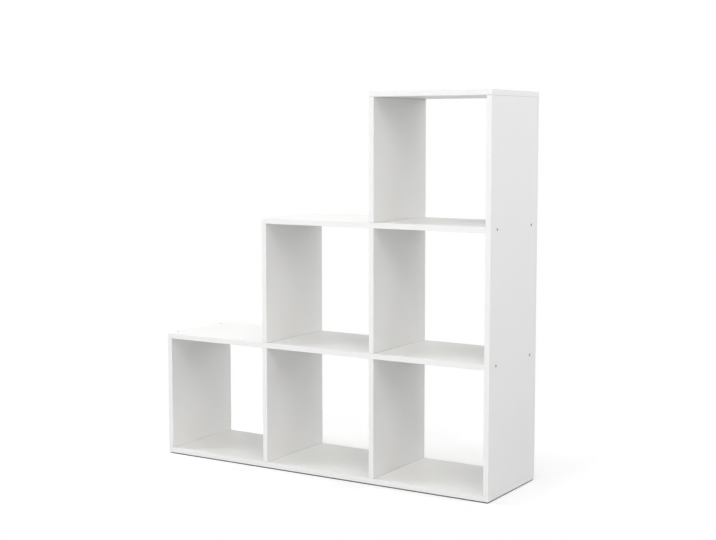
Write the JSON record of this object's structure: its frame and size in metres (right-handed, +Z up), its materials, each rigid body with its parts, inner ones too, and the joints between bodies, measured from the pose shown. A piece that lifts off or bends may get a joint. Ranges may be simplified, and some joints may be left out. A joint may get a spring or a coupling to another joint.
{
  "type": "staircase bookshelf",
  "caption": "Free-standing stepped shelf of white coated boards with open cells that rise like stairs towards a tall side panel; open at the front and the back.",
  "frame": {"origin": "centre of the footprint, on the floor under the glides", "axes": "+X to the tall end as seen from the front, -Y out of the front, +Z up"},
  "size_m": [1.075, 0.29, 1.078],
  "materials": {
    "white_board": "white melamine-coated particle board with white edge bands, satin",
    "screw_steel": "zinc-plated steel, dull",
    "dowel_wood": "plain beech, unfinished",
    "glide_plastic": "moulded off-white plastic, matt"
  },
  "bodies": {
    "root": {"bottom_board": "white_board", "lower_shelf": "white_board", "upper_shelf": "white_board", "top_board": "white_board", "side_panel": "white_board", "upright_left_bottom": "white_board", "upright_centre_bottom": "white_board", "upright_centre_middle": "white_board", "upright_right_bottom": "white_board", "upright_right_middle": "white_board", "upright_right_top": "white_board", "screw_bottom_board_left_front": "screw_steel", "screw_bottom_board_left_rear": "screw_steel", "screw_bottom_board_centre_front": "screw_steel", "screw_bottom_board_centre_rear": "screw_steel", "screw_bottom_board_right_front": "screw_steel", "screw_bottom_board_right_rear": "screw_steel", "screw_bottom_board_side_front": "screw_steel", "screw_bottom_board_side_rear": "screw_steel", "screw_lower_shelf_left_front": "screw_steel", "screw_lower_shelf_left_rear": "screw_steel", "screw_lower_shelf_centre_front": "screw_steel", "screw_lower_shelf_centre_rear": "screw_steel", "screw_lower_shelf_right_front": "screw_steel", "screw_lower_shelf_right_rear": "screw_steel", "screw_upper_shelf_centre_front": "screw_steel", "screw_upper_shelf_centre_rear": "screw_steel", "screw_upper_shelf_right_front": "screw_steel", "screw_upper_shelf_right_rear": "screw_steel", "screw_top_board_right_front": "screw_steel", "screw_top_board_right_rear": "screw_steel", "screw_top_board_side_front": "screw_steel", "screw_top_board_side_rear": "screw_steel", "screw_side_panel_lower_shelf_front": "screw_steel", "screw_side_panel_lower_shelf_rear": "screw_steel", "screw_side_panel_upper_shelf_front": "screw_steel", "screw_side_panel_upper_shelf_rear": "screw_steel", "dowel_upright_centre_middle_front": "dowel_wood", "dowel_upright_centre_middle_rear": "dowel_wood", "dowel_upright_right_middle_front": "dowel_wood", "dowel_upright_right_middle_rear": "dowel_wood", "dowel_upright_right_top_front": "dowel_wood", "dowel_upright_right_top_rear": "dowel_wood", "glide_left_front": "glide_plastic", "glide_left_rear": "glide_plastic", "glide_centre_front": "glide_plastic", "glide_centre_rear": "glide_plastic", "glide_right_front": "glide_plastic", "glide_right_rear": "glide_plastic", "glide_side_front": "glide_plastic", "glide_side_rear": "glide_plastic"}
  },
  "joints": []
}
